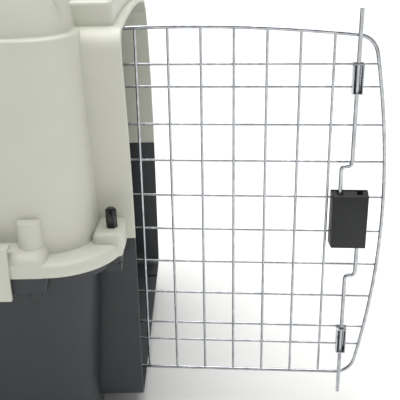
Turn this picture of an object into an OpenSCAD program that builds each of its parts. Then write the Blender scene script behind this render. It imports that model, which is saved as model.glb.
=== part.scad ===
// Pet transport carrier: two moulded half shells clipped together, with a swinging wire door in a
// neck at the front. +X is the door end, +Z is up, and z = 0 is the surface that it stands on.

/* [Body] */
// Half length of the body wall at the parting line
body_half_l = 305; // [260:1:380]
// Half width of the body wall at the parting line
body_half_w = 206; // [190:1:280]
// Height of the parting line between the two shells
parting_z = 200; // [190:1:240]
// Height of the ledge where the upper shell steps in
ledge_z = 378; // [370:1:440]
// Height of the roof
roof_z = 450; // [440:1:540]
// How far the lower walls lean in towards the base
lower_draft = 14; // [4:1:30]
// How far the upper walls lean in towards the ledge
upper_draft = 7; // [2:1:15]
// How far the upper shell steps in above the ledge
ledge_step = 6; // [4:1:12]
// Radius of the body's upright corners
corner_r = 40; // [25:1:60]
// Thickness of the moulded walls
wall = 3; // [2:0.5:5]

/* [Rim] */
// How far the light rim stands out from the body wall at the sides
rim_out = 19; // [12:1:30]
// Depth of the light rim
rim_h = 11; // [8:1:16]
// Depth of the dark rim below the parting line
dark_rim_h = 11; // [8:1:16]
// How far the dark rim is set in from the light one
rim_set_in = 10; // [6:1:12]
// Corner radius of the light rim
rim_r = 58; // [45:1:70]

/* [Neck and doorway] */
// Outer width of the neck
neck_w = 300; // [290:1:340]
// Reach of the neck beyond the body wall
neck_reach = 30; // [25:1:45]
// Height of the underside of the neck
neck_low_z = 31; // [20:1:60]
// Height of the top of the neck
neck_top_z = 384; // [370:1:430]
// How far the top of the neck falls from its middle to its corners
neck_arch = 6; // [0:0.5:10]
// Radius of the neck's upper corners
neck_top_r = 22; // [12:1:30]
// Radius of the neck's lower corners
neck_low_r = 14; // [10:1:26]
// Height of the keeper block on the neck, above the neck's top
keeper_rise = 14; // [12:1:24]

/* [Door] */
// Spacing of the upright wires
wire_pitch_w = 28; // [24:0.5:30]
// Spacing of the cross wires
wire_pitch_h = 33.4; // [28:0.1:34]
// Diameter of the door's edge wire
edge_wire_d = 3.2; // [2.5:0.1:4]
// Diameter of the door's inner wires
grid_wire_d = 2.2; // [1.6:0.1:3]
// Gap between the door's lowest wire and the floor of the neck
door_floor_gap = 4; // [3:0.5:9]
// Distance from the hinge to the near end of the door
door_heel = 22; // [16:1:24]
// How far the hinge is behind the front of the neck
hinge_back = 16; // [12:1:22]
// How far the door stands open here, measured from shut
door_open = 94.4; // [90:0.2:100]
// Distance from the hinge to the side wall of the neck
hinge_in = 43.6; // [31:0.2:46]
// Diameter of the hinge rod
hinge_rod_d = 4; // [3:0.1:5]
// Radial clearance of a pin that turns in a hole
pin_clearance = 0.1; // [0.05:0.01:0.1]

/* [Latch] */
// Diameter of the two latch rods
latch_rod_d = 3.6; // [3:0.1:4.5]
// Gap around a latch rod in its slot or bore
rod_gap = 0.8; // [0.5:0.1:1.5]
// Width of the latch case
case_w = 33; // [30:1:40]
// Height of the latch case
case_h = 51; // [51:1:64]
// Depth of the latch case in front of the wires
case_depth = 11; // [11:1:20]
// How far a rod moves outwards from rest to lock
lock_travel = 8; // [5:1:9]
// How far the upper rod draws in
upper_draw = 19; // [14:1:19]
// How far the lower rod draws in
lower_draw = 24; // [18:1:24]

/* [Clips, plugs and handle] */
// Width of each side clip
clip_w = 53; // [48:1:60]
// Distance of the clips from the middle of the body
clip_x = 218; // [150:1:225]
// Diameter of the clip pins
clip_pin_d = 3; // [2:0.1:4]
// Diameter of the corner plugs
plug_d = 8; // [6:0.5:10]
// Height of the corner plugs above their pads
plug_h = 17; // [12:1:28]
// Length of the carry handle between its pivots
handle_l = 170; // [130:1:200]
// Height of the handle's grip above its pivots
handle_reach = 44; // [38:1:60]
// Diameter of the handle's pivot pins
handle_pin_d = 6; // [5:0.5:8]

/* [Hidden] */
$fn = 48;

eps = 0.01;
far = 900;
front_x = body_half_l + neck_reach;
neck_y = neck_w / 2;
neck_back_x = body_half_l - 15;
rim_x = front_x - 7;
rim_y = body_half_w + rim_out;
dark_rim_y = rim_y - rim_set_in;
light_gray = [0.87, 0.87, 0.83];
charcoal = [0.23, 0.24, 0.25];
zinc = [0.8, 0.81, 0.82];
near_black = [0.09, 0.1, 0.11];
dark_gray = [0.3, 0.3, 0.32];

// Door layout: the door is laid out in the plane y = hinge_y along +X, then turned by at_door().
hinge_x = front_x - hinge_back;
hinge_y = -neck_y + hinge_in;
wire_count = 7;
row_steps = [0, 0.92, 0.58, 1, 1, 1, 1, 1, 1, 1, 0.58, 0.94];
function sum_to(v, n) = n <= 0 ? 0 : v[n - 1] + sum_to(v, n - 1);
rows = len(row_steps);
door_h = sum_to(row_steps, rows) * wire_pitch_h;
door_low_z = neck_low_z + wall + door_floor_gap + edge_wire_d / 2;
door_top_z = door_low_z + door_h;
function row_z(i) = door_top_z - sum_to(row_steps, i + 1) * wire_pitch_h;
door_mid_x = hinge_x + 3.71 * wire_pitch_w;
door_mid_z = (door_top_z + door_low_z) / 2;
latch_edge = 4.79 * wire_pitch_w;
door_corner_r = 20;
// The latch side of the door bows outwards and its top is a shallow arch, both parabolas
latch_edge_bow = 19;
arch_top_x = door_mid_x - 40;
arch_fall = 0.00036;
half_door_h = door_h / 2;
function edge_x(z) = door_mid_x + latch_edge - latch_edge_bow * ((z - door_mid_z) / half_door_h) ^ 2;
function arch_z(x) = door_top_z + 1 - arch_fall * (x - arch_top_x) ^ 2;
rod_x = hinge_x + 2 * 3.71 * wire_pitch_w;

// Latch layout: the rods step sideways at a crank and enter the case side by side.
case_mid_x = rod_x;
case_mid_z = door_mid_z - 2.5;
case_top_z = case_mid_z + case_h / 2;
case_low_z = case_mid_z - case_h / 2;
upper_leg_x = rod_x - 9;
lower_leg_x = rod_x + 9;
crank_gap = 4.5;
upper_crank_z = case_top_z + upper_draw + latch_rod_d / 2 + crank_gap;
lower_crank_z = case_low_z - lower_draw - latch_rod_d / 2 - crank_gap;
rod_y = hinge_y - edge_wire_d / 2 - latch_rod_d / 2 - 1;
upper_tip_z = neck_top_z + 5.5;
lower_tip_z = neck_low_z - 11;
keeper_low_z = lower_tip_z - lock_travel - 4;
swing_r = sqrt((rod_x - hinge_x) ^ 2 + (rod_y - hinge_y) ^ 2);
swing_turn = atan((rod_y - hinge_y) / (rod_x - hinge_x));
// Where the latch rods stand when the door is shut
keeper_x = hinge_x - swing_r * sin(swing_turn);
keeper_y = hinge_y + swing_r * cos(swing_turn);
cross_y = hinge_y + grid_wire_d - 0.15;
case_front_y = hinge_y - edge_wire_d / 2 - case_depth;
case_back_y = cross_y - grid_wire_d / 2 - 0.1;
case_wall = 2;
plate_y = cross_y + grid_wire_d / 2 - 0.05;
plate_t = 1.6;
screw_d = 2.5;
screw_reach = case_h / 2 - 9;
shuttle_h = 6;
shuttle_w = 10;
upper_shuttle_z = case_top_z - case_wall - lock_travel - 1 - shuttle_h;
lower_shuttle_z = case_low_z + case_wall + lock_travel + 1;
spring_r = 3.8;
spring_wire_d = 0.9;
spring_turns = 8;
guide_w = 9;
guide_h = 26;
guide_t = 1;

// Clips, corner plugs and handle.
block_half_l = clip_w / 2 + 30;
block_h = 22;
dark_block_h = 15;
clip_pin_z = parting_z - 12;
clip_pin_y = rim_y - 5.5;
clip_t = 3.5;
clip_barrel_w = clip_w - 13;
clip_barrel_r = 4.2;
clip_pin_l = clip_barrel_w + 12;
pad_z = parting_z + 20;
plug_x = rim_x - 10;
plug_y = neck_y + 21;
handle_pivot_z = roof_z + 14;
handle_x = handle_l / 2;

module both_y() {
  children();
  mirror([0, 1, 0]) children();
}

module both_x() {
  children();
  mirror([1, 0, 0]) children();
}

// Turns what is laid out along +X to where the open door stands
module at_door() {
  translate([hinge_x, hinge_y, 0]) rotate([0, 0, 90 - door_open])
    translate([-hinge_x, -hinge_y, 0]) children();
}

// Flat rounded rectangle, half sizes hx and hy
module rounded(hx, hy, r) {
  square([2 * hx, 2 * (hy - r)], center = true);
  square([2 * (hx - r), 2 * hy], center = true);
  for (sx = [-1, 1])
    for (sy = [-1, 1])
      translate([sx * (hx - r), sy * (hy - r)]) circle(r = r);
}

module slice(z, hx, hy, r) {
  translate([0, 0, z]) linear_extrude(eps) rounded(hx, hy, r, $fn = 32);
}

// The walls below the parting line, inset by t
module lower_form(t) {
  hull() {
    slice(t, body_half_l - lower_draft - t, body_half_w - lower_draft - t, corner_r - t);
    slice(parting_z + (t > 0 ? 1 : -eps), body_half_l - t, body_half_w - t, corner_r - t);
  }
}

// The walls from the parting line to the ledge, inset by t
module upper_form(t) {
  hull() {
    slice(parting_z - (t > 0 ? 1 : 0), body_half_l - t, body_half_w - t, corner_r - t);
    slice(ledge_z - t, body_half_l - upper_draft - t, body_half_w - upper_draft - t, corner_r - t);
  }
}

// The roof above the ledge, inset by t
module roof_form(t) {
  l = body_half_l - upper_draft - ledge_step;
  w = body_half_w - upper_draft - ledge_step;
  hull() {
    slice(ledge_z - 2 * t - 1, l - t, w - t, corner_r - t);
    slice((ledge_z + roof_z) / 2 - t, l - 9 - t, w - 12 - t, corner_r - t);
    slice(roof_z - 12 - t, l - 24 - t, w - 34 - t, corner_r - t);
    slice(roof_z - t - eps, l - 44 - t, w - 58 - t, corner_r - t);
  }
}

// Outline of the neck seen from the front, inset by t, with y across and z up
module neck_outline(t) {
  low = neck_low_z + t;
  top = neck_top_z - t;
  half = neck_y - t;
  corner_y = half - neck_top_r;
  corner_z = top - neck_arch - neck_top_r;
  arch = [for (i = [-8:8]) [corner_y * i / 8, top - neck_arch * (i / 8) ^ 2]];
  translate([-half, low + neck_low_r]) square([2 * half, corner_z - low - neck_low_r]);
  translate([-half + neck_low_r, low]) square([2 * (half - neck_low_r), neck_low_r + 1]);
  polygon(concat([[-corner_y, corner_z - 1]], arch, [[corner_y, corner_z - 1]]));
  for (s = [-1, 1]) {
    translate([s * (half - neck_low_r), low + neck_low_r]) circle(r = neck_low_r);
    translate([s * corner_y, corner_z]) circle(r = neck_top_r);
  }
}

module neck_form(t, from_x, to_x) {
  translate([from_x, 0, 0]) rotate([90, 0, 90]) linear_extrude(to_x - from_x) neck_outline(t);
}

module half_space(above) {
  translate([-far, -far, above ? parting_z : parting_z - far]) cube([2 * far, 2 * far, far]);
}

// Swept wire in a plane of constant y: points are [x, z]
function unit(v) = v / norm(v);
function tangent(p, i, closed) =
  let (n = len(p), a = closed ? p[(i + n - 1) % n] : p[max(i - 1, 0)],
       b = closed ? p[(i + 1) % n] : p[min(i + 1, n - 1)]) unit(b - a);
module wire(p, y, d, closed, sides = 10) {
  n = len(p);
  pts = [for (i = [0:n - 1]) let (t = tangent(p, i, closed)) for (k = [0:sides - 1])
    let (a = 360 * k / sides, u = d / 2 * cos(a), v = d / 2 * sin(a))
    [p[i].x - t.y * u, y + v, p[i].y + t.x * u]];
  spans = closed ? n : n - 1;
  skin = [for (i = [0:spans - 1]) for (k = [0:sides - 1]) let (j = (i + 1) % n, m = (k + 1) % sides)
    [i * sides + k, i * sides + m, j * sides + m, j * sides + k]];
  caps = closed ? [] : [[for (k = [sides - 1:-1:0]) k], [for (k = [0:sides - 1]) (n - 1) * sides + k]];
  polyhedron(points = pts, faces = concat(skin, caps), convexity = 6);
}

module ring_wire(path_r, z0, z1, x, y) {
  steps = 16 * spring_turns;
  sides = 6;
  pts = [for (i = [0:steps]) for (k = [0:sides - 1])
    let (a = 360 * spring_turns * i / steps, b = 360 * k / sides,
         r = path_r + spring_wire_d / 2 * cos(b))
    [x + r * cos(a), y + r * sin(a),
     z0 + spring_wire_d + (z1 - z0 - 2 * spring_wire_d) * i / steps + spring_wire_d / 2 * sin(b)]];
  skin = [for (i = [0:steps - 1]) for (k = [0:sides - 1]) let (m = (k + 1) % sides)
    [i * sides + k, i * sides + m, (i + 1) * sides + m, (i + 1) * sides + k]];
  caps = [[for (k = [sides - 1:-1:0]) k], [for (k = [0:sides - 1]) steps * sides + k]];
  polyhedron(points = pts, faces = concat(skin, caps), convexity = 10);
}

// Rim all round the body, from z0 up by h, set in by t
module rim_band(z0, h, t) {
  translate([0, 0, z0]) linear_extrude(h) rounded(rim_x - t, rim_y - t, rim_r - t);
}

// Thicker stretch of the rim that carries a clip
module clip_blocks(z0, h, out_y) {
  for (s = [-1, 1])
    both_y() translate([s * clip_x - block_half_l, body_half_w - 4, z0])
      cube([2 * block_half_l, out_y - body_half_w + 4, h]);
}

module at_plugs() {
  both_x() both_y() translate([plug_x, plug_y, 0]) children();
}

module at_clip_pins() {
  both_x() both_y() translate([clip_x, clip_pin_y, clip_pin_z]) rotate([0, 90, 0]) children();
}

module latch_slot(tip_z, up) {
  // The slot lets the rod swing in from the front; beyond the rod's rest tip it is a closed bore.
  slot_w = latch_rod_d + 2 * rod_gap;
  z0 = up ? neck_top_z - neck_arch - wall - 1 : tip_z - 1.5;
  z1 = up ? tip_z + 1.5 : neck_low_z + wall + 1;
  translate([keeper_x - slot_w / 2, keeper_y - slot_w / 2, z0]) cube([far, slot_w, z1 - z0]);
  bore_z = up ? z1 - 1 : tip_z - lock_travel - 1;
  translate([keeper_x, keeper_y, bore_z]) cylinder(d = slot_w, h = lock_travel + 2);
}

module lower_shell() {
  color(charcoal) difference() {
    union() {
      lower_form(0);
      intersection() {
        neck_form(0, neck_back_x, front_x);
        half_space(false);
      }
      rim_band(parting_z - dark_rim_h, dark_rim_h, rim_set_in);
      clip_blocks(parting_z - dark_block_h, dark_block_h, rim_y - 1);
      at_plugs() translate([0, 0, parting_z - dark_rim_h]) cylinder(r = 8, h = dark_rim_h);
      // Keeper for the lower latch rod, under the floor of the neck
      translate([keeper_x - 8, keeper_y - 8, keeper_low_z]) cube([13, 16, neck_low_z - keeper_low_z + 1]);
    }
    lower_form(wall);
    neck_form(wall, neck_back_x - 10, far);
    at_clip_pins() cylinder(d = clip_pin_d, h = clip_pin_l, center = true);
    // Pockets that the barrels of the clips turn in
    both_x() both_y() translate([clip_x - clip_barrel_w / 2 - 1, clip_pin_y - 5.5, clip_pin_z - 6])
      cube([clip_barrel_w + 2, far, 12]);
    at_plugs() translate([0, 0, parting_z - 30]) cylinder(d = plug_d - 1, h = 40);
    translate([hinge_x, hinge_y, neck_low_z - 20]) cylinder(r = hinge_rod_d / 2 + pin_clearance, h = 40);
    latch_slot(lower_tip_z, false);
  }
}

module upper_shell() {
  slot_pitch = 18;
  block_low_z = neck_top_z - neck_arch - 1;
  color(light_gray) difference() {
    union() {
      upper_form(0);
      roof_form(0);
      intersection() {
        neck_form(0, neck_back_x, front_x);
        half_space(true);
      }
      // Keeper block over the neck for the hinge rod and the upper latch rod
      translate([neck_back_x - 8, -neck_y + 26, block_low_z])
        cube([front_x - 12 - neck_back_x + 8, neck_w - 52, neck_top_z + keeper_rise - block_low_z]);
      translate([keeper_x - 8, keeper_y - 8, block_low_z])
        cube([13, 16, neck_top_z + keeper_rise - block_low_z]);
      rim_band(parting_z, rim_h, 0);
      clip_blocks(parting_z, block_h, rim_y);
      at_plugs() translate([-14, -21, parting_z]) cube([23, 37, pad_z - parting_z]);
      // Tapered stiffening posts beside the clips
      both_x() both_y() translate([clip_x + 40, body_half_w - 1, parting_z + block_h - 1])
        cylinder(r1 = 10.5, r2 = 9.5, h = 21);
    }
    upper_form(wall);
    roof_form(wall);
    neck_form(wall, neck_back_x - 10, far);
    at_plugs() translate([0, 0, parting_z - 10]) cylinder(d = plug_d - 1, h = 40);
    translate([hinge_x, hinge_y, neck_top_z - 10]) cylinder(r = hinge_rod_d / 2 + pin_clearance, h = 19);
    latch_slot(upper_tip_z, true);
    // Side vents
    for (i = [-5:5])
      translate([i * slot_pitch * 2, 0, ledge_z + 30]) cube([slot_pitch, far, 14], center = true);
    // Rear vents
    for (i = [-4:4])
      translate([-body_half_l, i * slot_pitch * 2, ledge_z + 30]) cube([120, slot_pitch, 14], center = true);
    // Screw holes of the handle brackets
    for (s = [-1, 1])
      for (t = [-1, 1])
        translate([s * (handle_x + 14), t * 11, roof_z - 8]) cylinder(d = 4, h = 20);
  }
}

module door_edge_wire() {
  n = 20;
  heel_x = hinge_x - door_heel;
  r = door_corner_r;
  low = door_low_z;
  function bend(a, b, c) =
    [for (i = [0:8]) let (t = i / 8) (1 - t) ^ 2 * a + 2 * t * (1 - t) * b + t ^ 2 * c];
  e0 = edge_x(low + r);
  high = door_top_z - r - 4;
  e1 = edge_x(high);
  arch_end = e1 - 2.5 - 16;
  path = concat(
    bend([heel_x, low + 12], [heel_x, low], [heel_x + 12, low]),
    bend([e0 - r, low], [e0 - 2.5, low], [e0, low + r]),
    [for (i = [1:n - 1]) let (z = low + r + (high - low - r) * i / n) [edge_x(z), z]],
    bend([e1, high], [e1 - 2.5, arch_z(e1 - 2.5)], [arch_end, arch_z(arch_end)]),
    [for (i = [1:n - 1]) let (x = arch_end + (heel_x + 12 - arch_end) * i / n) [x, arch_z(x)]],
    bend([heel_x + 12, arch_z(heel_x + 12)], [heel_x, arch_z(heel_x)], [heel_x, door_top_z - 14]));
  color(zinc) at_door() wire(path, hinge_y, edge_wire_d, true);
}

module door_upright_wires() {
  color(zinc) at_door() for (i = [0:wire_count - 1]) {
    x = door_mid_x + (i - 3) * wire_pitch_w;
    translate([x, hinge_y, door_low_z]) cylinder(d = grid_wire_d, h = arch_z(x) - door_low_z);
  }
}

module door_cross_wires() {
  heel_x = hinge_x - door_heel;
  color(zinc) at_door() for (i = [1:rows - 2])
    translate([heel_x, cross_y, row_z(i)]) rotate([0, 90, 0])
      cylinder(d = grid_wire_d, h = edge_x(row_z(i)) - heel_x);
}

module hinge_rod() {
  color(zinc) translate([hinge_x, hinge_y, neck_low_z + 0.5])
    cylinder(d = hinge_rod_d, h = neck_top_z + 8 - neck_low_z - 0.5);
}

module latch_rod(tip_z, crank_z, leg_x, end_z) {
  r = 4;
  s = leg_x > rod_x ? 1 : -1;
  v = tip_z > crank_z ? 1 : -1;
  path = [[rod_x, tip_z], [rod_x, crank_z + v * r], [rod_x + s * 1.2, crank_z + v * 1.2],
    [rod_x + s * r, crank_z], [leg_x - s * r, crank_z], [leg_x - s * 1.2, crank_z - v * 1.2],
    [leg_x, crank_z - v * r], [leg_x, end_z]];
  color(zinc) at_door() wire(path, rod_y, latch_rod_d, false, sides = 12);
}

module upper_latch_rod() {
  latch_rod(upper_tip_z, upper_crank_z, upper_leg_x, upper_shuttle_z);
}

module lower_latch_rod() {
  latch_rod(lower_tip_z, lower_crank_z, lower_leg_x, lower_shuttle_z + shuttle_h);
}

// Folded sheet channel between two cross wires, with an eye for the rod at each end
module rod_guide(z) {
  back_y = cross_y - grid_wire_d / 2;
  front_y = rod_y - latch_rod_d / 2 - 2;
  depth = back_y - front_y + 0.1;
  bore_r = latch_rod_d / 2 + pin_clearance + 0.15;
  color(zinc) at_door() difference() {
    translate([rod_x - guide_w / 2, front_y, z]) cube([guide_w, depth, guide_h]);
    translate([rod_x - guide_w / 2 + guide_t, front_y - 1, z + guide_t])
      cube([guide_w - 2 * guide_t, depth + 1 - guide_t, guide_h - 2 * guide_t]);
    translate([rod_x, rod_y, z - 1]) cylinder(r = bore_r, h = guide_h + 2);
  }
}

module upper_rod_guide() {
  rod_guide(row_z(2) - 5);
}

module lower_rod_guide() {
  rod_guide(row_z(10) - 5);
}

module latch_case() {
  slot_w = latch_rod_d + 2 * rod_gap;
  color(near_black) at_door() difference() {
    translate([case_mid_x - case_w / 2, case_front_y, case_low_z])
      cube([case_w, case_back_y - case_front_y, case_h]);
    difference() {
      translate([case_mid_x - case_w / 2 + case_wall, case_front_y + case_wall, case_low_z + case_wall])
        cube([case_w - 2 * case_wall, case_depth + 10, case_h - 2 * case_wall]);
      for (s = [-1, 1])
        translate([case_mid_x, case_back_y + 1, case_mid_z + s * screw_reach]) rotate([90, 0, 0])
          cylinder(d = 5, h = case_depth + 10);
    }
    for (s = [-1, 1])
      translate([case_mid_x, case_back_y + 1, case_mid_z + s * screw_reach]) rotate([90, 0, 0])
        cylinder(d = screw_d, h = 10);
    // Notches for the rods, open at the back, and a matching blank notch at the top
    for (x = [upper_leg_x, lower_leg_x])
      translate([x - slot_w / 2, rod_y - slot_w / 2, case_top_z - case_wall - 1])
        cube([slot_w, 20, case_wall + 2]);
    translate([lower_leg_x - slot_w / 2, rod_y - slot_w / 2, case_low_z - 1])
      cube([slot_w, 20, case_wall + 2]);
  }
}

module latch_back_plate() {
  color(near_black) at_door() difference() {
    translate([case_mid_x - case_w / 2, plate_y, case_low_z]) cube([case_w, plate_t, case_h]);
    for (s = [-1, 1])
      translate([case_mid_x, plate_y + plate_t + 1, case_mid_z + s * screw_reach]) rotate([90, 0, 0])
        cylinder(d = screw_d, h = plate_t + 2);
  }
}

module latch_screws() {
  color(zinc) at_door() for (s = [-1, 1])
    translate([case_mid_x, plate_y + plate_t, case_mid_z + s * screw_reach]) {
      rotate([90, 0, 0]) cylinder(d = screw_d, h = plate_t + plate_y - case_back_y + 8);
      translate([0, 1.4, 0]) rotate([90, 0, 0]) cylinder(d = 4.6, h = 1.4);
    }
}

module upper_rod_spring() {
  color(zinc) at_door() ring_wire(spring_r, case_low_z + case_wall, upper_shuttle_z, upper_leg_x, rod_y);
}

module lower_rod_spring() {
  color(zinc) at_door()
    ring_wire(spring_r, lower_shuttle_z + shuttle_h, case_top_z - case_wall, lower_leg_x, rod_y);
}

module shuttle(x, z) {
  color(dark_gray) at_door() difference() {
    translate([x - shuttle_w / 2, rod_y - 5, z]) cube([shuttle_w, 10, shuttle_h]);
    translate([x, rod_y, z - 1]) cylinder(d = latch_rod_d, h = shuttle_h + 2);
  }
}

module upper_rod_shuttle() {
  shuttle(upper_leg_x, upper_shuttle_z);
}

module lower_rod_shuttle() {
  shuttle(lower_leg_x, lower_shuttle_z);
}

// Clip at the front on the far side: a hooked plate whose barrel turns on the pin
module clip() {
  gap = 0.6;
  face_y = rim_y + gap;
  top_z = parting_z + block_h + gap;
  color(light_gray) difference() {
    union() {
      translate([clip_x - clip_w / 2, 0, 0]) rotate([90, 0, 90]) linear_extrude(clip_w) {
        translate([face_y, clip_pin_z - 5.5]) square([clip_t, top_z + clip_t - clip_pin_z + 5.5]);
        translate([face_y - 9, top_z]) square([9 + clip_t, clip_t]);
      }
      translate([clip_x - clip_barrel_w / 2, 0, 0]) rotate([90, 0, 90]) linear_extrude(clip_barrel_w) {
        translate([clip_pin_y, clip_pin_z - clip_barrel_r]) square([face_y - clip_pin_y + 1, 6]);
        translate([clip_pin_y, clip_pin_z]) circle(r = clip_barrel_r);
      }
    }
    translate([0, clip_pin_y, clip_pin_z]) rotate([0, 90, 0])
      cylinder(r = clip_pin_d / 2 + pin_clearance, h = far);
  }
}

module clip_front_far() {
  clip();
}

module clip_front_near() {
  mirror([0, 1, 0]) clip();
}

module clip_rear_far() {
  mirror([1, 0, 0]) clip();
}

module clip_rear_near() {
  mirror([1, 0, 0]) mirror([0, 1, 0]) clip();
}

module clip_pins() {
  color(zinc) at_clip_pins() cylinder(d = clip_pin_d, h = clip_pin_l, center = true);
}

module corner_plugs() {
  shank_z = parting_z - dark_rim_h - 8;
  tip_h = 1.2;
  color([0.05, 0.05, 0.05]) at_plugs() {
    translate([0, 0, shank_z]) cylinder(d = plug_d - 1.2, h = pad_z - shank_z);
    translate([0, 0, pad_z]) cylinder(d = plug_d, h = plug_h - tip_h);
    translate([0, 0, pad_z + plug_h - tip_h]) cylinder(d1 = plug_d, d2 = plug_d - 1.6, h = tip_h);
    for (a = [0:60:300])
      rotate([0, 0, a]) translate([plug_d / 2, 0, pad_z]) cylinder(d = 1.4, h = plug_h - tip_h);
  }
}

module plug_nuts() {
  color(charcoal) at_plugs() difference() {
    translate([-7, -7, parting_z - dark_rim_h - 7]) cube([14, 14, 7]);
    translate([0, 0, parting_z - dark_rim_h - 8]) cylinder(d = plug_d - 1.2, h = 9);
  }
}

module carry_handle() {
  arm = 12;
  color([0.16, 0.16, 0.17]) difference() {
    union() {
      translate([-handle_x + arm / 2, handle_reach, handle_pivot_z]) rotate([0, 90, 0])
        cylinder(r = 9, h = handle_l - arm);
      for (s = [-1, 1]) {
        translate([s * (handle_x - arm / 2) - arm / 2, 0, handle_pivot_z - 7]) cube([arm, handle_reach, 14]);
        translate([s * (handle_x - arm / 2) - arm / 2, 0, handle_pivot_z]) rotate([0, 90, 0])
          cylinder(r = 7, h = arm);
        translate([s * (handle_x - arm / 2) - arm / 2, handle_reach, handle_pivot_z]) rotate([0, 90, 0])
          cylinder(r = 9, h = arm);
      }
    }
    translate([-far / 2, 0, handle_pivot_z]) rotate([0, 90, 0])
      cylinder(r = handle_pin_d / 2 + pin_clearance, h = far);
  }
}

module handle_brackets() {
  color(light_gray) both_x() difference() {
    union() {
      translate([handle_x + 0.5, -18, roof_z]) cube([28, 36, 4]);
      translate([handle_x + 0.5, -8, roof_z]) cube([7, 16, handle_pivot_z - roof_z]);
      translate([handle_x + 0.5, 0, handle_pivot_z]) rotate([0, 90, 0]) cylinder(r = 8, h = 7);
    }
    translate([0, 0, handle_pivot_z]) rotate([0, 90, 0]) cylinder(d = handle_pin_d, h = far);
    for (t = [-1, 1])
      translate([handle_x + 14, t * 11, roof_z - 1]) cylinder(d = 4, h = 10);
  }
}

module handle_pins() {
  color(zinc) both_x() translate([handle_x - 11, 0, handle_pivot_z]) rotate([0, 90, 0]) {
    cylinder(d = handle_pin_d, h = 19.5);
    translate([0, 0, 19.5]) cylinder(d = handle_pin_d + 3, h = 2);
  }
}

module handle_screws() {
  color(zinc) both_x() for (t = [-1, 1])
    translate([handle_x + 14, t * 11, 0]) {
      translate([0, 0, roof_z - 7]) cylinder(d = 4, h = 11);
      translate([0, 0, roof_z + 4]) cylinder(d = 8, h = 2.5);
    }
}

lower_shell();
upper_shell();
door_edge_wire();
door_upright_wires();
door_cross_wires();
hinge_rod();
upper_latch_rod();
lower_latch_rod();
upper_rod_guide();
lower_rod_guide();
latch_case();
latch_back_plate();
latch_screws();
upper_rod_spring();
lower_rod_spring();
upper_rod_shuttle();
lower_rod_shuttle();
clip_front_near();
clip_front_far();
clip_rear_near();
clip_rear_far();
clip_pins();
corner_plugs();
plug_nuts();
carry_handle();
handle_brackets();
handle_pins();
handle_screws();
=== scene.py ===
import math

import bmesh
import bpy
import numpy as np
from mathutils import Matrix, Vector


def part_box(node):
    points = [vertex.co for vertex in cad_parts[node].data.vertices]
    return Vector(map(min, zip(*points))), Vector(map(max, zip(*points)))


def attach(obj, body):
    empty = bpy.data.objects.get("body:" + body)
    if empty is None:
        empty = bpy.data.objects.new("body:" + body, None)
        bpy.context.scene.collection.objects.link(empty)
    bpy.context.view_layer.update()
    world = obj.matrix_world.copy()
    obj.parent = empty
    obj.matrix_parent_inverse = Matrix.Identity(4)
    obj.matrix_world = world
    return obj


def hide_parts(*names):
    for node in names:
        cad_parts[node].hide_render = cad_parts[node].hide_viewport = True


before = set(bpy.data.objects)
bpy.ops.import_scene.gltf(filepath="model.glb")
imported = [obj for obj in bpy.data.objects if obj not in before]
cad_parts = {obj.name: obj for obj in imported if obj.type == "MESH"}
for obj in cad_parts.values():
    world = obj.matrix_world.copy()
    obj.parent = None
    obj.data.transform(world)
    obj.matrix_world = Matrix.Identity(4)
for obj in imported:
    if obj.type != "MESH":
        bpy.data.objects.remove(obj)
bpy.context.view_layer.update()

mm = 0.001

# The camera stands at the carrier's near side, level with the door's top, and looks down a little.
camera = {"place": (392, -709.6, 449.4), "pitch": 21.0, "roll": -0.9, "focal": 700 / 400}


def makeCamera():
    # Right and up are the level frame turned by the roll about the line of sight.
    pitch = math.radians(camera["pitch"])
    roll = math.radians(camera["roll"])
    sight = Vector((0, math.cos(pitch), -math.sin(pitch)))
    level = Vector((1, 0, 0))
    lift = level.cross(sight)
    right = level * math.cos(roll) + lift * math.sin(roll)
    up = lift * math.cos(roll) - level * math.sin(roll)
    data = bpy.data.cameras.new("camera")
    data.sensor_width = 36
    data.lens = 36 * camera["focal"]
    data.clip_start = 0.02
    obj = bpy.data.objects.new("camera", data)
    bpy.context.collection.objects.link(obj)
    turn = Matrix((right, up, -sight)).transposed().to_4x4()
    obj.matrix_world = Matrix.Translation(Vector(camera["place"]) * mm) @ turn
    bpy.context.scene.camera = obj


makeCamera()
print("camera placed")


# Materials

def linear(hexColour):
    # sRGB hex to linear light
    parts = [int(hexColour[i:i + 2], 16) / 255 for i in (1, 3, 5)]
    return tuple(c / 12.92 if c <= 0.04045 else ((c + 0.055) / 1.055) ** 2.4 for c in parts) + (1.0,)


def addNode(tree, kind, settings=None, inputs=None, links=None):
    node = tree.nodes.new(kind)
    for name, value in (settings or {}).items():
        setattr(node, name, value)
    for name, value in (inputs or {}).items():
        node.inputs[name].default_value = value
    for name, socket in (links or {}).items():
        tree.links.new(socket, node.inputs[name])
    return node


def newMaterial(name, metallic=0.0, ior=None):
    material = bpy.data.materials.new(name)
    material.use_nodes = True
    tree = material.node_tree
    tree.nodes.clear()
    shader = addNode(tree, "ShaderNodeBsdfPrincipled", inputs={"Metallic": metallic})
    if ior:
        shader.inputs["IOR"].default_value = ior
    output = addNode(tree, "ShaderNodeOutputMaterial")
    tree.links.new(shader.outputs[0], output.inputs["Surface"])
    place = addNode(tree, "ShaderNodeTexCoord").outputs["Object"]
    return material, tree, shader, place


def mixedColour(tree, factor, dark, light):
    ramp = addNode(tree, "ShaderNodeValToRGB", links={"Fac": factor})
    ramp.color_ramp.elements[0].position = 0.3
    ramp.color_ramp.elements[0].color = linear(dark)
    ramp.color_ramp.elements[1].position = 0.7
    ramp.color_ramp.elements[1].color = linear(light)
    return ramp.outputs["Color"]


def spread(tree, value, low, high, start=0.3, end=0.7):
    # Carries a value from start..end to low..high
    node = addNode(tree, "ShaderNodeMapRange", inputs={"From Min": start, "From Max": end, "To Min": low,
                                                       "To Max": high}, links={"Value": value})
    return node.outputs["Result"]


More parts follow.
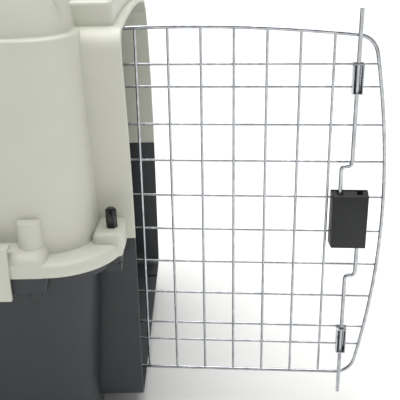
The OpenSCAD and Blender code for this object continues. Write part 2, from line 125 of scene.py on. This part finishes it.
# Moulded polypropylene: faint flow clouding, and a spark-eroded grain that softens the highlights.
# The real grain is about 0.4 mm; it is drawn at about 1.2 mm so that it shows.
def mouldedPlastic(name, dark, light, rough, grainMm, bump, scuffs):
    material, tree, shader, place = newMaterial(name, ior=1.49)
    cloud = addNode(tree, "ShaderNodeTexNoise", inputs={"Scale": 9.0, "Detail": 3.0, "Roughness": 0.55},
                    links={"Vector": place})
    grain = addNode(tree, "ShaderNodeTexNoise", inputs={"Scale": 1000 / grainMm, "Detail": 2.0},
                    links={"Vector": place})
    streak = addNode(tree, "ShaderNodeTexNoise", inputs={"Scale": 70.0, "Detail": 6.0, "Roughness": 0.7,
                                                         "Distortion": 0.6}, links={"Vector": place})
    shader.inputs["Base Color"].default_value = linear(light)
    tree.links.new(mixedColour(tree, cloud.outputs["Fac"], dark, light), shader.inputs["Base Color"])
    uneven = spread(tree, streak.outputs["Fac"], rough - scuffs, rough + scuffs)
    tree.links.new(uneven, shader.inputs["Roughness"])
    ripple = addNode(tree, "ShaderNodeBump", inputs={"Strength": bump, "Distance": 0.0004},
                     links={"Height": grain.outputs["Fac"]})
    tree.links.new(ripple.outputs["Normal"], shader.inputs["Normal"])
    return material


# Zinc-plated steel wire with a bright passivated finish: a cool mirror broken up by fine drawing marks
# along the wire and by slightly milky patches.
def platedWire(name, dark, light, rough, markMm):
    material, tree, shader, place = newMaterial(name, metallic=1.0)
    patch = addNode(tree, "ShaderNodeTexNoise", inputs={"Scale": 160.0, "Detail": 4.0},
                    links={"Vector": place})
    mark = addNode(tree, "ShaderNodeTexNoise", inputs={"Scale": 1000 / markMm, "Detail": 3.0},
                   links={"Vector": place})
    tree.links.new(mixedColour(tree, patch.outputs["Fac"], dark, light), shader.inputs["Base Color"])
    tree.links.new(spread(tree, patch.outputs["Fac"], rough - 0.06, rough + 0.08), shader.inputs["Roughness"])
    scratch = addNode(tree, "ShaderNodeBump", inputs={"Strength": 0.12, "Distance": 0.0002},
                      links={"Height": mark.outputs["Fac"]})
    tree.links.new(scratch.outputs["Normal"], shader.inputs["Normal"])
    return material


lightPolypropylene = mouldedPlastic("lightPolypropylene", "#D3D4C7", "#DADBCE", 0.40, 1.2, 0.10, 0.05)
charcoalPolypropylene = mouldedPlastic("charcoalPolypropylene", "#2E3134", "#34373B", 0.42, 1.2, 0.16, 0.06)
blackNylon = mouldedPlastic("blackNylon", "#17191B", "#1E2022", 0.48, 0.9, 0.22, 0.06)
glossyBlackNylon = mouldedPlastic("glossyBlackNylon", "#0B0B0C", "#111112", 0.16, 2.5, 0.05, 0.04)
handlePolypropylene = mouldedPlastic("handlePolypropylene", "#26282A", "#2D2F32", 0.46, 1.2, 0.25, 0.06)
brightZincWire = platedWire("brightZincWire", "#9DA0A5", "#C9CCD1", 0.22, 0.5)
dullZincSteel = platedWire("dullZincSteel", "#8C8E92", "#A9ABAE", 0.36, 0.4)
print("materials made")


# Shapes

def meshObject(name, points, faces):
    # points are in millimetres
    mesh = bpy.data.meshes.new(name)
    mesh.from_pydata((np.asarray(points) * mm).tolist(), [], faces)
    mesh.update()
    obj = bpy.data.objects.new(name, mesh)
    bpy.context.collection.objects.link(obj)
    return obj


def gridFaces(rings, sides, closed=False):
    # Quads between neighbouring rings of the same number of points, each ring closed on itself
    spans = rings if closed else rings - 1
    i, k = np.meshgrid(np.arange(spans), np.arange(sides), indexing="ij")
    j = (i + 1) % rings
    m = (k + 1) % sides
    quads = np.stack([i * sides + k, i * sides + m, j * sides + m, j * sides + k], axis=-1)
    return quads.reshape(-1, 4).tolist()


def roundedOutline(halfX, halfY, radius, arcSteps=10, straightSteps=8):
    # Rounded rectangle: four quarter circles about the inner corners, joined by evenly divided straights
    turn = np.linspace(0, math.pi / 2, arcSteps + 1)
    pieces = []
    corners = [(1, 1), (-1, 1), (-1, -1), (1, -1)]
    for q, (sx, sy) in enumerate(corners):
        a = turn + q * math.pi / 2
        arc = np.stack([sx * (halfX - radius) + radius * np.cos(a),
                        sy * (halfY - radius) + radius * np.sin(a)], -1)
        nx, ny = corners[(q + 1) % 4]
        b = (q + 1) * math.pi / 2
        start = np.array([nx * (halfX - radius) + radius * math.cos(b),
                          ny * (halfY - radius) + radius * math.sin(b)])
        t = np.linspace(0, 1, straightSteps + 1)[1:-1, None]
        pieces += [arc, arc[-1] * (1 - t) + start * t]
    return np.concatenate(pieces)


def ringSolid(name, rings):
    # Closed solid through rings with the same number of points, with a flat face at each end
    sides = len(rings[0])
    faces = gridFaces(len(rings), sides)
    faces.append(list(range(sides))[::-1])
    faces.append([(len(rings) - 1) * sides + k for k in range(sides)])
    return meshObject(name, np.concatenate(rings), faces)


def loftedSolid(name, levels, arcSteps=10, straightSteps=8):
    # Closed solid through rounded rectangles: each level is (height, half x, half y, corner radius)
    rings = []
    for z, halfX, halfY, radius in levels:
        outline = roundedOutline(halfX, halfY, radius, arcSteps, straightSteps)
        rings.append(np.column_stack([outline, np.full(len(outline), z)]))
    return ringSolid(name, rings)


def sweptProfile(name, path, normals, profile):
    # Closed profile (outward, upward) carried round a closed flat path: point = path + outward * normal + up
    ring = path[:, None, :] + profile[None, :, :1] * normals[:, None, :]
    height = np.broadcast_to(profile[None, :, 1:], ring.shape[:2] + (1,))
    points = np.concatenate([ring, height], -1).reshape(-1, 3)
    faces = gridFaces(len(path), len(profile), closed=True)
    return meshObject(name, points, faces)


def roundedBlock(name, low, high, radius, steps=5):
    # Box whose edges all have one radius: a rounded rectangle that shrinks along quarter circles at both ends
    low, high = np.array(low, float), np.array(high, float)
    half = (high - low) / 2
    middle = (high + low) / 2
    turn = np.linspace(0, math.pi / 2, steps + 1)
    inset = radius * (1 - np.sin(turn))
    rise = radius * (1 - np.cos(turn))
    below = [(-half[2] + r, half[0] - i, half[1] - i, max(radius - i, 0.02)) for i, r in zip(inset, rise)]
    above = [(-z, hx, hy, r) for z, hx, hy, r in below[::-1]]
    obj = loftedSolid(name, below + above, arcSteps=6, straightSteps=2)
    obj.data.transform(Matrix.Translation(Vector(middle * mm)))
    return obj


def frontLoft(name, outline, stations):
    # Solid along X through copies of a (y, z) outline: each station is (x, how far the outline is grown)
    rings = []
    for x, grow in stations:
        flat = outline(grow)
        rings.append(np.column_stack([np.full(len(flat), x), flat]))
    return ringSolid(name, rings)


def tube(name, path, diameter, closed=False, sides=16):
    # Round wire along a path in a plane of constant y: each ring stands square to the path's tangent
    path = np.asarray(path, float)
    ahead, behind = np.roll(path, -1, 0), np.roll(path, 1, 0)
    if not closed:
        ahead[-1], behind[0] = path[-1], path[0]
    run = ahead - behind
    run /= np.linalg.norm(run, axis=1)[:, None]
    sideways = np.stack([-run[:, 2], np.zeros(len(run)), run[:, 0]], -1)
    turn = np.linspace(0, 2 * math.pi, sides, endpoint=False)
    radius = diameter / 2
    rings = path[:, None] + radius * (np.cos(turn)[None, :, None] * sideways[:, None]
                                      + np.sin(turn)[None, :, None] * np.array([0, 1.0, 0]))
    faces = gridFaces(len(path), sides, closed)
    if not closed:
        faces.append(list(range(sides))[::-1])
        faces.append([(len(path) - 1) * sides + k for k in range(sides)])
    return meshObject(name, rings.reshape(-1, 3), faces)


def outwards(obj):
    form = bmesh.new()
    form.from_mesh(obj.data)
    bmesh.ops.remove_doubles(form, verts=form.verts, dist=1e-6)
    bmesh.ops.recalc_face_normals(form, faces=form.faces)
    form.to_mesh(obj.data)
    form.free()
    return obj


def smoothed(obj, sharpAngle=32):
    # Smooth shading with edges over the angle kept crisp
    form = bmesh.new()
    form.from_mesh(obj.data)
    limit = math.radians(sharpAngle)
    for edge in form.edges:
        edge.smooth = edge.is_manifold and edge.calc_face_angle(0) < limit
    for face in form.faces:
        face.smooth = True
    form.to_mesh(obj.data)
    form.free()
    return obj


def applied(obj):
    # Puts the result of the object's modifiers into its mesh
    bpy.context.view_layer.update()
    graph = bpy.context.evaluated_depsgraph_get()
    mesh = bpy.data.meshes.new_from_object(obj.evaluated_get(graph))
    obj.modifiers.clear()
    obj.data = mesh
    return obj


def combined(obj, others, operation):
    # One boolean after another, and the tools are thrown away
    for other in others:
        step = obj.modifiers.new("step", "BOOLEAN")
        step.operation = operation
        step.solver = "EXACT"
        step.object = other
        applied(obj)
        bpy.data.objects.remove(other)
    return obj


def cleaned(obj):
    form = bmesh.new()
    form.from_mesh(obj.data)
    bmesh.ops.remove_doubles(form, verts=form.verts, dist=2e-6)
    bmesh.ops.dissolve_degenerate(form, edges=form.edges, dist=1e-6)
    form.to_mesh(obj.data)
    form.free()
    return obj


def softenedCopy(node, width, segments=2, name=None):
    # A CAD piece with its flat faces made whole again and its edges rounded
    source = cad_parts[node]
    mesh = source.data.copy()
    obj = bpy.data.objects.new(name or node + "_finished", mesh)
    bpy.context.collection.objects.link(obj)
    form = bmesh.new()
    form.from_mesh(mesh)
    bmesh.ops.remove_doubles(form, verts=form.verts, dist=2e-6)
    bmesh.ops.dissolve_limit(form, angle_limit=math.radians(1.0), verts=form.verts, edges=form.edges)
    form.to_mesh(mesh)
    form.free()
    if width:
        bevel = obj.modifiers.new("rounding", "BEVEL")
        bevel.width = width * mm
        bevel.segments = segments
        bevel.limit_method = "ANGLE"
        bevel.angle_limit = math.radians(40)
        bevel.use_clamp_overlap = True
        applied(obj)
    return smoothed(obj, 40)


def finished(obj, body, material, nodes=()):
    obj.data.materials.clear()
    obj.data.materials.append(material)
    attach(obj, body)
    if nodes:
        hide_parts(*nodes)
    return obj


def joined(name, parts):
    # Several meshes become one, and the separate ones are thrown away
    form = bmesh.new()
    for part in parts:
        form.from_mesh(part.data)
        bpy.data.objects.remove(part)
    mesh = bpy.data.meshes.new(name)
    form.to_mesh(mesh)
    form.free()
    obj = bpy.data.objects.new(name, mesh)
    bpy.context.collection.objects.link(obj)
    return obj


def mirrored(make, signs):
    # Makes one piece for each pair of signs on x and y
    parts = []
    for sx, sy in signs:
        part = make()
        part.data.transform(Matrix.Diagonal((sx, sy, 1, 1)))
        parts.append(outwards(part))
    return parts


allCorners = [(1, 1), (1, -1), (-1, 1), (-1, -1)]

# The two shells

upperLow, upperHigh = (np.array(corner) * 1000 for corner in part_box("upper_shell"))
body = {"halfX": 305, "halfY": 206, "parting": upperLow[2], "ledge": 378, "roof": upperHigh[2], "cornerR": 40,
        "lowerDraft": 14, "upperDraft": 7, "step": 6, "wall": 3}
rim = {"halfX": 328, "halfY": upperHigh[1], "cornerR": 58, "height": 11, "round": 5.5, "darkInset": 10,
       "darkHeight": 11}
neck = {"front": upperHigh[0], "back": 286, "halfY": 150, "low": 31, "top": 384, "topR": 22, "lowR": 14,
        "arch": 6, "lean": 4.5}


def reshaped(obj, change):
    # Moves every vertex at once: change takes and gives back an array of points in millimetres
    mesh = obj.data
    flat = np.empty(len(mesh.vertices) * 3, np.float32)
    mesh.vertices.foreach_get("co", flat)
    points = change(flat.reshape(-1, 3).astype(float) / mm) * mm
    mesh.vertices.foreach_set("co", points.astype(np.float32).ravel())
    mesh.update()
    return obj


def leaned(points):
    # The mouth leans back: x falls by lean * h^2, where h is the share of the height above 190 mm
    share = np.clip((points[:, 2] - 190) / (neck["top"] - 190), 0, None) ** 2
    reach = np.clip((points[:, 0] - neck["back"]) / (neck["front"] - neck["back"]), 0, 1)
    points[:, 0] -= neck["lean"] * share * reach
    return points


def upperLevels(inset):
    # Walls lean in evenly to the ledge, round over it, then the roof falls in along a superellipse:
    # share = 1 - (1 - h^1.6)^(1/1.6), where h is the height above the ledge as a share of the roof's
    levels = []

    def add(z, more, shareX=0.0, shareY=0.0):
        levels.append((z, body["halfX"] - inset - more - shareX, body["halfY"] - inset - more - shareY,
                       body["cornerR"] - inset))

    rise = body["ledge"] - body["parting"]
    over = 2.5
    for z in np.linspace(body["parting"] - (4 if inset else 0), body["ledge"] - over - inset, 16):
        add(z, body["upperDraft"] * (z - body["parting"]) / rise)
    for a in np.linspace(0.3, math.pi / 2, 5):
        add(body["ledge"] - inset - over * (1 - math.sin(a)), body["upperDraft"] + over * (1 - math.cos(a)))
    foot = body["upperDraft"] + body["step"]
    for a in np.linspace(0, math.pi / 2, 4):
        add(body["ledge"] - inset + 1.5 * (1 - math.cos(a)), foot - 1.5 * (1 - math.sin(a)))
    tall = body["roof"] - body["ledge"]
    for h in 1 - (1 - np.linspace(0.06, 1, 26)) ** 1.8:
        share = 1 - (1 - h ** 1.6) ** (1 / 1.6)
        add(body["ledge"] - inset + tall * h, foot, 44 * share, 58 * share)
    return levels


def lowerLevels(inset):
    # Walls lean in evenly towards the base, whose edge is a quarter circle
    levels = []
    bend = 10 - inset
    for a in np.linspace(0, math.pi / 2, 7):
        levels.append((inset + bend * (1 - math.cos(a)), bend * (1 - math.sin(a))))
    for z in np.linspace(inset + bend, body["parting"] + (4 if inset else 0), 18)[1:]:
        levels.append((z, 0.0))
    lean = body["lowerDraft"] / body["parting"]
    return [(z, body["halfX"] - inset - more - lean * (body["parting"] - z),
             body["halfY"] - inset - more - lean * (body["parting"] - z), body["cornerR"] - inset)
            for z, more in levels]


def neckOutline(above, grow=0.0, past=0.0):
    # Half of the neck seen from the front: straight sides, two quarter circles, and a top that falls from its
    # middle to the corners by arch * (y / reach)^2
    half = neck["halfY"] + grow
    radius = neck["topR"] if above else neck["lowR"]
    fall = neck["arch"] if above else 0.0
    end = neck["top"] + grow if above else neck["low"] - grow
    toward = 1 if above else -1
    a = np.linspace(0, math.pi / 2, 13)
    arc = np.stack([half - radius + radius * np.cos(a),
                    end - fall - toward * (radius - radius * np.sin(a))], -1)
    side = np.linspace(body["parting"] - toward * past, arc[0, 1], 24)[:-1]
    right = np.concatenate([np.stack([np.full(len(side), half), side], -1), arc])
    left = right[::-1] * [-1, 1]
    flat = np.linspace(half - radius, radius - half, 24)[1:-1]
    crown = end - fall * (flat / (half - radius)) ** 2
    return np.concatenate([right, np.stack([flat, crown], -1), left])


def neckSolid(above):
    edge = 1.2
    a = np.linspace(0, math.pi / 2, 5)
    ends = [(neck["front"] - edge * (1 - math.sin(t)), -edge * (1 - math.cos(t))) for t in a]
    stations = [(x, 0.0) for x in np.linspace(neck["back"], neck["front"] - edge, 6)[:-1]] + ends
    solid = frontLoft("neck", lambda grow: neckOutline(above, grow), stations)
    return outwards(reshaped(solid, leaned))


def neckHollow(above):
    # The mouth flares by a hair at the front, so that the inner edge is rounded too
    wall = body["wall"]
    stations = [(neck["back"] - 12, -wall), (neck["front"] - 0.9, -wall), (neck["front"] - 0.3, 0.3 - wall),
                (neck["front"] + 0.02, 0.9 - wall), (neck["front"] + 5, 0.9 - wall)]
    hollow = frontLoft("neckHollow", lambda grow: neckOutline(above, grow, 3), stations)
    return outwards(reshaped(hollow, leaned))


def rimSweep(name, inset, z0, height, rounding, under):
    # Flat-bottomed band whose outer top edge is a quarter circle; it runs in through the body wall
    path = roundedOutline(rim["halfX"] - inset, rim["halfY"] - inset, rim["cornerR"] - inset, 16, 12)
    run = np.roll(path, -1, 0) - np.roll(path, 1, 0)
    normals = np.stack([run[:, 1], -run[:, 0]], -1) / np.linalg.norm(run, axis=1)[:, None]
    a = np.linspace(0, math.pi / 2, 8)
    top = np.stack([-rounding * (1 - np.cos(a)), height - rounding * (1 - np.sin(a))], -1)
    foot = np.array([[-27.0, 0], [-under, 0], [-under * 0.3, under * 0.3], [0, under]])
    profile = np.concatenate([foot, top, [[-27.0, height + 0.6]]]) + [0, z0]
    return outwards(sweptProfile(name, path, normals, profile))


def rod(name, x, y, z0, z1, radius, sides=32):
    # Upright cylinder
    a = np.linspace(0, 2 * math.pi, sides, endpoint=False)
    flat = np.stack([x + radius * np.cos(a), y + radius * np.sin(a)], -1)
    return outwards(ringSolid(name, [np.column_stack([flat, np.full(sides, z)]) for z in (z0, z1)]))


hinge = {"x": 319, "y": -106.4, "rodR": 2}
keeper = {"x": 323.4, "y": 101.36, "gap": 5.2, "upperTip": 389.5, "lowerTip": 20, "lock": 8}
clipBlock = {"x": 218, "halfL": 56, "top": 22, "dark": 15, "fall": 6, "slant": 4, "endSlope": 4, "flatHalf": 30}
pad = {"x0": 303.5, "x1": 327.3, "y0": 146, "y1": 187, "height": 20, "radius": 4}
vent = {"pitch": 36, "halfL": 9, "low": 401, "high": 415, "radius": 4, "sideCount": 5, "rearCount": 4}


def lightBlock():
    # Rounded block whose top falls evenly towards its front face and whose ends slope in as they rise
    p = body["parting"]

    def sloped(points):
        out = np.clip((points[:, 1] - body["halfY"]) / (rim["halfY"] - body["halfY"]), 0, 1)
        up = np.clip((points[:, 2] - p) / clipBlock["top"], 0, 1)
        points[:, 2] -= clipBlock["fall"] * out * up
        along = points[:, 0] - clipBlock["x"]
        points[:, 0] -= clipBlock["endSlope"] * up * np.sign(along) * (np.abs(along) > clipBlock["flatHalf"])
        return points

    low = (clipBlock["x"] - clipBlock["halfL"], body["halfY"] - 8, p - 8)
    high = (clipBlock["x"] + clipBlock["halfL"], rim["halfY"], p + clipBlock["top"])
    return reshaped(roundedBlock("block", low, high, 8, 7), sloped)


def darkBlock():
    # Its ends run in towards the bottom by a straight slant
    p = body["parting"]

    def slanted(points):
        down = np.clip((p - points[:, 2]) / clipBlock["dark"], 0, 1)
        points[:, 0] -= clipBlock["slant"] * down * (points[:, 0] - clipBlock["x"]) / clipBlock["halfL"]
        return points

    low = (clipBlock["x"] - clipBlock["halfL"], body["halfY"] - 10, p - clipBlock["dark"])
    high = (clipBlock["x"] + clipBlock["halfL"], rim["halfY"] - 1, p + 6)
    return reshaped(roundedBlock("block", low, high, 2.5), slanted)


def post():
    # Tapered stiffening post: circles whose radius falls evenly, with a rounded top edge
    top = body["parting"] + 41.5
    levels = [(body["parting"] + 10, 10.6), (top - 1.6, 9.3), (top - 0.8, 9.0), (top - 0.2, 8.4), (top, 7.6)]
    solid = loftedSolid("post", [(z, r, r, r - 0.01) for z, r in levels], 8, 2)
    solid.data.transform(Matrix.Translation(Vector((clipBlock["x"] + 40, body["halfY"] - 1, 0)) * mm))
    return solid


def makeUpperShell():
    p = body["parting"]
    shell = outwards(loftedSolid("upperShell", upperLevels(0), 14, 14))
    blocks = mirrored(lightBlock, allCorners)
    pads = mirrored(lambda: roundedBlock("pad", (pad["x0"], pad["y0"], p - 8),
                                         (pad["x1"], pad["y1"], p + pad["height"]), pad["radius"]), allCorners)
    boss = roundedBlock("boss", (keeper["x"] - 8, keeper["y"] - 8, neck["top"] - 12),
                        (keeper["x"] + 5, keeper["y"] + 8, neck["top"] + 14), 1.5, 3)
    slab = roundedBlock("slab", (272, -124, neck["top"] - 12), (323, 124, neck["top"] + 14), 4)
    ridges = mirrored(lambda: roundedBlock("ridge", (276, 138, neck["top"] - 30),
                                           (292, 164, neck["top"] + 22), 6), [(1, 1), (1, -1)])
    combined(shell, [neckSolid(True), rimSweep("band", 0, p, rim["height"], rim["round"], 0.8)], "UNION")
    combined(shell, [joined("blocks", blocks + pads), joined("posts", mirrored(post, allCorners)),
                     outwards(slab), joined("ridges", ridges), outwards(boss)], "UNION")
    hollow = outwards(loftedSolid("hollow", upperLevels(body["wall"]), 14, 14))
    below = outwards(roundedBlock("below", (-400, -300, p - 60), (400, 300, p), 0.05, 1))
    combined(shell, [hollow, neckHollow(True), below], "DIFFERENCE")

    def ventCut(x0, x1, y0, y1):
        return outwards(roundedBlock("vent", (x0, y0, vent["low"]), (x1, y1, vent["high"]), vent["radius"], 3))

    vents = []
    for i in range(-vent["sideCount"], vent["sideCount"] + 1):
        middle = i * vent["pitch"]
        for sy in (-1, 1):
            y0, y1 = sorted((sy * 150, sy * 230))
            vents.append(ventCut(middle - vent["halfL"], middle + vent["halfL"], y0, y1))
    for i in range(-vent["rearCount"], vent["rearCount"] + 1):
        middle = i * vent["pitch"]
        vents.append(ventCut(-340, -250, middle - vent["halfL"], middle + vent["halfL"]))
    gap = keeper["gap"] / 2
    tip = keeper["upperTip"] + 1.5
    slot = outwards(roundedBlock("slot", (keeper["x"] - gap, keeper["y"] - gap, 378),
                                 (345, keeper["y"] + gap, tip), 0.3, 2))
    bore = rod("bore", keeper["x"], keeper["y"], tip - 3, tip + 5.5, gap)
    hole = rod("hole", hinge["x"], hinge["y"], 376, 393, hinge["rodR"] + 0.4)
    combined(shell, [joined("vents", vents), slot, bore, hole], "DIFFERENCE")
    return smoothed(cleaned(shell), 34)


def makeLowerShell():
    p = body["parting"]
    shell = outwards(loftedSolid("lowerShell", lowerLevels(0), 14, 14))
    blockX = clipBlock["x"]
    blocks = mirrored(darkBlock, allCorners)
    lugs = mirrored(lambda: roundedBlock("lug", (blockX + 38, body["halfY"] - 10, p - clipBlock["dark"] - 8),
                                         (blockX + 47, rim["halfY"] - 6, p - 8), 3), allCorners)
    pockets = mirrored(lambda: roundedBlock("pocket", (blockX - 21, 214, p - 18),
                                            (blockX + 21, 240, p - 6), 0.6, 2), allCorners)
    plugs = mirrored(lambda: rod("plugPad", 318, 171, p - 11, p + 1, 8), allCorners)
    combined(shell, [neckSolid(False), rimSweep("band", rim["darkInset"], p - rim["darkHeight"],
                                                rim["darkHeight"] + 1, 0.6, 1.5)], "UNION")
    keeperBlock = roundedBlock("keeperBlock", (keeper["x"] - 8, keeper["y"] - 8, 8),
                               (keeper["x"] + 5, keeper["y"] + 8, neck["low"] + 2), 1.2, 3)
    combined(shell, [joined("blocks", blocks), joined("lugs", lugs), joined("pads", plugs),
                     outwards(keeperBlock)], "UNION")
    hollow = outwards(loftedSolid("hollow", lowerLevels(body["wall"]), 14, 14))
    above = outwards(roundedBlock("above", (-400, -300, p), (400, 300, p + 60), 0.05, 1))
    combined(shell, [hollow, neckHollow(False), above], "DIFFERENCE")
    gap = keeper["gap"] / 2
    tip = keeper["lowerTip"] - 1.5
    slot = outwards(roundedBlock("slot", (keeper["x"] - gap, keeper["y"] - gap, tip),
                                 (345, keeper["y"] + gap, 42), 0.3, 2))
    bore = rod("bore", keeper["x"], keeper["y"], keeper["lowerTip"] - keeper["lock"] - 1, tip + 3, gap)
    hole = rod("hole", hinge["x"], hinge["y"], 20, 48, hinge["rodR"] + 0.4)
    combined(shell, [slot, bore, hole, joined("pockets", pockets)], "DIFFERENCE")
    return smoothed(cleaned(shell), 34)


upperShell = finished(makeUpperShell(), "carrier", lightPolypropylene, ["upper_shell"])
print("upper shell made:", len(upperShell.data.polygons))
lowerShell = finished(makeLowerShell(), "carrier", charcoalPolypropylene, ["lower_shell"])
print("lower shell made:", len(lowerShell.data.polygons))

# The door's wires and rods

door = {"midX": 422.88, "midZ": 206.93, "low": 39.6, "top": 374.27, "reach": 134.12, "bow": 19, "heel": 297,
        "archX": 382.88, "archFall": 0.00036, "wire": 3.2, "open": 94.4}
latchRods = {"x": 526.76, "y": hinge["y"] - 4.4, "leg": 9, "thick": 3.6,
             "upper_latch_rod": 255.23, "lower_latch_rod": 148.63}
doorTurn = math.radians(90 - door["open"])
aboutHinge = Matrix.Translation(Vector((hinge["x"], hinge["y"], 0)) * mm)


def turned(obj):
    # Door pieces are made in the plane y = hinge y, then turned about the hinge to stand past square
    obj.data.transform(aboutHinge @ Matrix.Rotation(doorTurn, 4, "Z") @ aboutHinge.inverted())
    return obj


def bend(a, b, c, steps=10):
    # Quadratic curve from a to c that leaves and arrives along the lines to b
    t = np.linspace(0, 1, steps + 1)[:, None]
    a, b, c = (np.array(point, float) for point in (a, b, c))
    return (1 - t) ** 2 * a + 2 * t * (1 - t) * b + t ** 2 * c


def makeEdgeWire():
    halfHeight = (door["top"] - door["low"]) / 2

    def sideX(z):
        return door["midX"] + door["reach"] - door["bow"] * ((z - door["midZ"]) / halfHeight) ** 2

    def archZ(x):
        return door["top"] + 1 - door["archFall"] * (x - door["archX"]) ** 2

    r = 20
    low, high, heel = door["low"], door["top"] - r - 4, door["heel"]
    e0, e1 = sideX(low + r), sideX(high)
    archEnd = e1 - 18.5
    z = np.linspace(low + r, high, 30)[1:-1]
    x = np.linspace(archEnd, heel + 12, 30)[1:-1]
    flat = np.concatenate([
        bend([heel, low + 12], [heel, low], [heel + 12, low]),
        bend([e0 - r, low], [e0 - 2.5, low], [e0, low + r]),
        np.stack([sideX(z), z], -1),
        bend([e1, high], [e1 - 2.5, archZ(e1 - 2.5)], [archEnd, archZ(archEnd)]),
        np.stack([x, archZ(x)], -1),
        bend([heel + 12, archZ(heel + 12)], [heel, archZ(heel)], [heel, door["top"] - 14])])
    path = np.column_stack([flat[:, 0], np.full(len(flat), hinge["y"]), flat[:, 1]])
    return smoothed(outwards(turned(tube("doorEdge", path, door["wire"], closed=True))), 60)


def makeLatchRod(name, node, legSide):
    # Straight rod with one sideways step; both bends are quadratic curves
    low, high = (np.array(corner) * 1000 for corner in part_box(node))
    rodX = latchRods["x"]
    legX = rodX + legSide * latchRods["leg"]
    up = legSide < 0
    crank = latchRods[node]
    tip, end = (high[2], low[2]) if up else (low[2], high[2])
    v = 1 if up else -1
    r = 4.5
    flat = np.concatenate([
        [[rodX, tip]],
        bend([rodX, crank + v * r], [rodX, crank], [rodX + legSide * r, crank], 7),
        bend([legX - legSide * r, crank], [legX, crank], [legX, crank - v * r], 7),
        [[legX, end]]])
    path = np.column_stack([flat[:, 0], np.full(len(flat), latchRods["y"]), flat[:, 1]])
    return smoothed(outwards(turned(tube(name, path, latchRods["thick"]))), 50)


finished(makeEdgeWire(), "door", brightZincWire, ["door_edge_wire"])
finished(makeLatchRod("upperLatchRod", "upper_latch_rod", -1), "upper_rod", brightZincWire,
         ["upper_latch_rod"])
finished(makeLatchRod("lowerLatchRod", "lower_latch_rod", 1), "lower_rod", brightZincWire,
         ["lower_latch_rod"])
print("wires made")

# Pieces that keep their CAD shape, with rounded edges

softened = {
    "latch_case": ("door", "black_plastic", blackNylon, 1.1, 3),
    "latch_back_plate": ("door", "black_plastic", blackNylon, 0.5, 2),
    "upper_rod_guide": ("door", "bright_wire", brightZincWire, 0.3, 2),
    "lower_rod_guide": ("door", "bright_wire", brightZincWire, 0.3, 2),
    "upper_rod_shuttle": ("upper_rod", "black_plastic", blackNylon, 0.5, 2),
    "lower_rod_shuttle": ("lower_rod", "black_plastic", blackNylon, 0.5, 2),
    "plug_nuts": ("carrier", "charcoal_plastic", charcoalPolypropylene, 0.8, 2),
    "corner_plugs": ("carrier", "gloss_black_plastic", glossyBlackNylon, 0.35, 2),
    "handle_brackets": ("carrier", "light_plastic", lightPolypropylene, 1.0, 3),
    "carry_handle": ("handle", "black_plastic", handlePolypropylene, 2.0, 3),
    "clip_front_near": ("clip_front_near", "light_plastic", lightPolypropylene, 1.2, 3),
    "clip_front_far": ("clip_front_far", "light_plastic", lightPolypropylene, 1.2, 3),
    "clip_rear_near": ("clip_rear_near", "light_plastic", lightPolypropylene, 1.2, 3),
    "clip_rear_far": ("clip_rear_far", "light_plastic", lightPolypropylene, 1.2, 3),
    "latch_screws": ("door", "steel_fastener", dullZincSteel, 0.3, 2),
    "handle_screws": ("carrier", "steel_fastener", dullZincSteel, 0.5, 2),
    "handle_pins": ("carrier", "steel_fastener", dullZincSteel, 0.4, 2),
}


caseTaperShare = {"width": 0.07, "height": 0.03}


def caseTaper(obj):
    # The cover narrows evenly from its root to its face, so it's turned to the door's own frame and back:
    # each distance from the middle is scaled by 1 - share * (how far forward, 0 to 1)
    obj.data.transform(aboutHinge @ Matrix.Rotation(-doorTurn, 4, "Z") @ aboutHinge.inverted())

    def narrowed(points):
        low, high = points.min(0), points.max(0)
        middle = (low + high) / 2
        out = np.clip((high[1] - points[:, 1]) / (high[1] - low[1]), 0, 1)
        for axis, share in ((0, caseTaperShare["width"]), (2, caseTaperShare["height"])):
            points[:, axis] = middle[axis] + (points[:, axis] - middle[axis]) * (1 - share * out)
        return points

    return turned(reshaped(obj, narrowed))


for node, (ridesOn, slotName, material, width, segments) in softened.items():
    piece = softenedCopy(node, width, segments)
    if node == "latch_case":
        caseTaper(piece)
    finished(piece, ridesOn, material, [node])
print("softened pieces made")

carried = {
    "door_upright_wires": brightZincWire,
    "door_cross_wires": brightZincWire,
    "hinge_rod": brightZincWire,
    "clip_pins": dullZincSteel,
    "upper_rod_spring": dullZincSteel,
    "lower_rod_spring": dullZincSteel,
}
for node, material in carried.items():
    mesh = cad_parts[node].data
    mesh.materials.clear()
    mesh.materials.append(material)

# Floor and light


def paleFloor():
    # Matt painted board: a very light, slightly warm white with almost no gloss
    material, tree, shader, place = newMaterial("paleFloorPaint", ior=1.45)
    shader.inputs["Base Color"].default_value = linear("#F4F4F2")
    shader.inputs["Roughness"].default_value = 0.9
    return material


floor = meshObject("floor", [(-9000, -9000, 0), (9000, -9000, 0), (9000, 14000, 0), (-9000, 14000, 0)],
                   [[0, 1, 2, 3]])
floor.data.materials.append(paleFloor())

world = bpy.data.worlds.new("studio")
bpy.context.scene.world = world
world.use_nodes = True
world.node_tree.nodes["Background"].inputs["Color"].default_value = (1, 1, 1, 1)
world.node_tree.nodes["Background"].inputs["Strength"].default_value = 0.25


def softSun(name, toward, strength, angle):
    lamp = bpy.data.lights.new(name, "SUN")
    lamp.energy = strength
    lamp.angle = math.radians(angle)
    obj = bpy.data.objects.new(name, lamp)
    bpy.context.collection.objects.link(obj)
    obj.rotation_euler = Vector(toward).to_track_quat("Z", "Y").to_euler()
    return obj


softSun("topLight", (-0.2, 0.25, 1), 3.6, 70)
softSun("frontLight", (1, -0.5, 0.6), 0.35, 60)
bpy.context.scene.view_settings.view_transform = "Standard"
